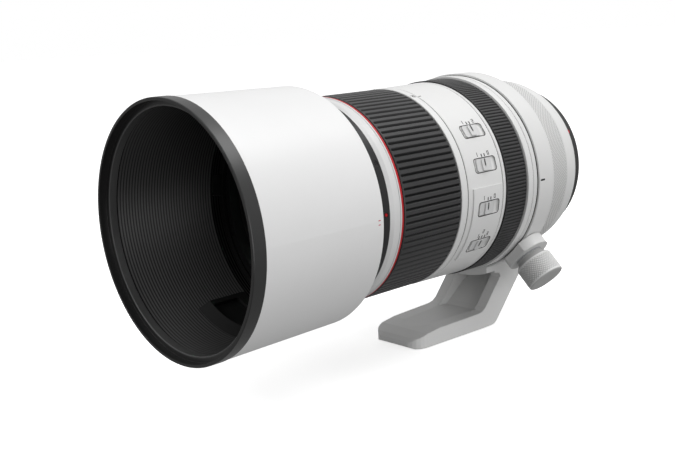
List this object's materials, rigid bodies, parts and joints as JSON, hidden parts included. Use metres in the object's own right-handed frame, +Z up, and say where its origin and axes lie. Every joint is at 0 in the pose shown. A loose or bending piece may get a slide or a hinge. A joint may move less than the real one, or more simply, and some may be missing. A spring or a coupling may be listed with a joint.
{
  "type": "telephoto zoom lens",
  "caption": "White telephoto zoom lens with a ribbed zoom ring, a rotating tripod collar with foot and clamp knob, and a large bayonet hood.",
  "frame": {"origin": "centre of the camera mount's flange face, on the optical axis", "axes": "+Y along the optical axis back towards the camera, +Z up away from the foot, +X the side with the switches"},
  "size_m": [0.1001, 0.2118, 0.1208],
  "materials": {
    "barrel_white": "satin",
    "silver_ring": "satin",
    "inner_black": "matte",
    "mount_steel": "satin",
    "seal_rubber": "matte",
    "contact_gold": "polished",
    "index_red": "gloss",
    "tube_aluminium": "satin",
    "roller_brass": "satin",
    "board_green": "satin",
    "lens_glass": "polished",
    "grip_rubber": "matte",
    "red_line": "gloss",
    "front_black": "satin",
    "hood_white": "satin",
    "hood_black": "matte",
    "rim_rubber": "matte",
    "switch_grey": "satin",
    "collar_white": "satin"
  },
  "bodies": {
    "barrel": {"fixed_barrel": "barrel_white", "index_band": "barrel_white", "rear_core": "inner_black", "rear_barrel": "barrel_white", "mount_ring": "mount_steel", "mount_screws": "mount_steel", "mount_seal": "seal_rubber", "contact_block": "inner_black", "contact_pins": "contact_gold", "rear_baffle": "inner_black", "mount_index_dot": "index_red", "guide_tube": "tube_aluminium", "main_board": "board_green", "rear_lens_cell": "inner_black", "rear_element": "lens_glass", "stabiliser_housing": "inner_black"},
    "zoom_ring": {"zoom_sleeve": "barrel_white", "zoom_grip": "grip_rubber", "cam_tube": "tube_aluminium"},
    "front_barrel": {"front_tube": "barrel_white", "front_ring": "silver_ring", "red_ring": "red_line", "hood_mount_ring": "front_black", "hood_index_dot": "index_red", "front_screws": "mount_steel", "front_bezel": "inner_black", "front_lens_cell": "inner_black", "front_element": "lens_glass", "second_element": "lens_glass", "cam_rollers": "roller_brass"},
    "hood": {"hood_shell": "hood_white", "hood_liner": "hood_black", "hood_rim": "rim_rubber", "hood_bayonet": "hood_black", "hood_window_frame": "hood_black"},
    "hood_door": {"hood_window_door": "hood_black"},
    "hood_button": {"hood_release_button": "hood_black"},
    "focus_ring": {"focus_sleeve": "inner_black", "focus_grip": "grip_rubber"},
    "control": {"control_ring": "barrel_white"},
    "range_switch": {"focus_range_switch": "switch_grey"},
    "mode_switch": {"focus_mode_switch": "switch_grey"},
    "steady_switch": {"stabiliser_switch": "switch_grey"},
    "steady_mode_switch": {"stabiliser_mode_switch": "switch_grey"},
    "collar": {"collar_lower": "collar_white", "foot_insert": "mount_steel", "collar_liner": "inner_black", "hinge_pin": "mount_steel"},
    "band": {"collar_band": "collar_white"},
    "washer": {"knob_washer": "mount_steel"},
    "knob": {"collar_knob": "collar_white", "knob_screw": "mount_steel"},
    "zoom_group": {"zoom_group_cell": "inner_black", "zoom_group_glass": "lens_glass"},
    "focus_group": {"focus_group_cell": "inner_black", "focus_group_glass": "lens_glass"},
    "steady_frame": {"stabiliser_frame": "mount_steel"},
    "steady_cell": {"stabiliser_cell": "inner_black", "stabiliser_glass": "lens_glass"}
  },
  "joints": [
    {"name": "zoom_turn", "type": "hinge", "parent": "barrel", "child": "zoom_ring", "pos_m": [0, -0.11, 0], "axis": [0, 1, 0], "range_deg": [0, 90]},
    {"name": "front_slide", "type": "slide", "parent": "barrel", "child": "front_barrel", "axis": [0, -1, 0], "range_m": [0, 0.054]},
    {"name": "zoom_group_slide", "type": "slide", "parent": "barrel", "child": "zoom_group", "axis": [0, -1, 0], "range_m": [0, 0.018]},
    {"name": "focus_turn", "type": "hinge", "parent": "barrel", "child": "focus_ring", "pos_m": [0, -0.0595, 0], "axis": [0, 1, 0], "continuous": true},
    {"name": "control_turn", "type": "hinge", "parent": "barrel", "child": "control", "pos_m": [0, -0.0262, 0], "axis": [0, 1, 0], "continuous": true},
    {"name": "focus_group_slide", "type": "slide", "parent": "barrel", "child": "focus_group", "axis": [0, -1, 0], "range_m": [-0.004, 0.005]},
    {"name": "steady_shift_x", "type": "slide", "parent": "barrel", "child": "steady_frame", "axis": [1, 0, 0], "range_m": [-0.001, 0.001]},
    {"name": "steady_shift_z", "type": "slide", "parent": "steady_frame", "child": "steady_cell", "axis": [0, 0, 1], "range_m": [-0.001, 0.001]},
    {"name": "range_switch_slide", "type": "slide", "parent": "barrel", "child": "range_switch", "axis": [0, 1, 0], "range_m": [0, 0.0018]},
    {"name": "mode_switch_slide", "type": "slide", "parent": "barrel", "child": "mode_switch", "axis": [0, 1, 0], "range_m": [0, 0.0018]},
    {"name": "steady_switch_slide", "type": "slide", "parent": "barrel", "child": "steady_switch", "axis": [0, 1, 0], "range_m": [0, 0.0018]},
    {"name": "steady_mode_slide", "type": "slide", "parent": "barrel", "child": "steady_mode_switch", "axis": [0, 1, 0], "range_m": [-0.0018, 0.0018]},
    {"name": "collar_turn", "type": "hinge", "parent": "barrel", "child": "collar", "pos_m": [0, -0.0406, 0], "axis": [0, 1, 0], "continuous": true},
    {"name": "band_open", "type": "hinge", "parent": "collar", "child": "band", "pos_m": [-0.03953, -0.0406, 0.02616], "axis": [0, -1, 0], "range_deg": [0, 60]},
    {"name": "knob_travel", "type": "slide", "parent": "collar", "child": "washer", "axis": [0.7071, 0, -0.7071], "range_m": [0, 0.0016]},
    {"name": "knob_turn", "type": "hinge", "parent": "washer", "child": "knob", "pos_m": [0.03889, -0.0406, -0.03889], "axis": [0.7071, 0, -0.7071], "range_deg": [0, 720]},
    {"name": "hood_twist", "type": "hinge", "parent": "front_barrel", "child": "hood", "pos_m": [0, -0.147, 0], "axis": [0, -1, 0], "range_deg": [0, 60]},
    {"name": "hood_door_slide", "type": "hinge", "parent": "hood", "child": "hood_door", "pos_m": [0, -0.168, 0], "axis": [0, -1, 0], "range_deg": [0, 14.5]},
    {"name": "hood_button_press", "type": "slide", "parent": "hood", "child": "hood_button", "axis": [0.9903, 0, -0.1392], "range_m": [0, 0.0009], "stiffness_N_per_m": 600, "springref_m": -0.002}
  ],
  "couplings": [
    {"joint": "front_slide", "follows": "zoom_turn", "m_per_rad": 0.034377},
    {"joint": "zoom_group_slide", "follows": "zoom_turn", "m_per_rad": 0.011459},
    {"joint": "knob_travel", "follows": "knob_turn", "m_per_rad": 0.00012732}
  ]
}
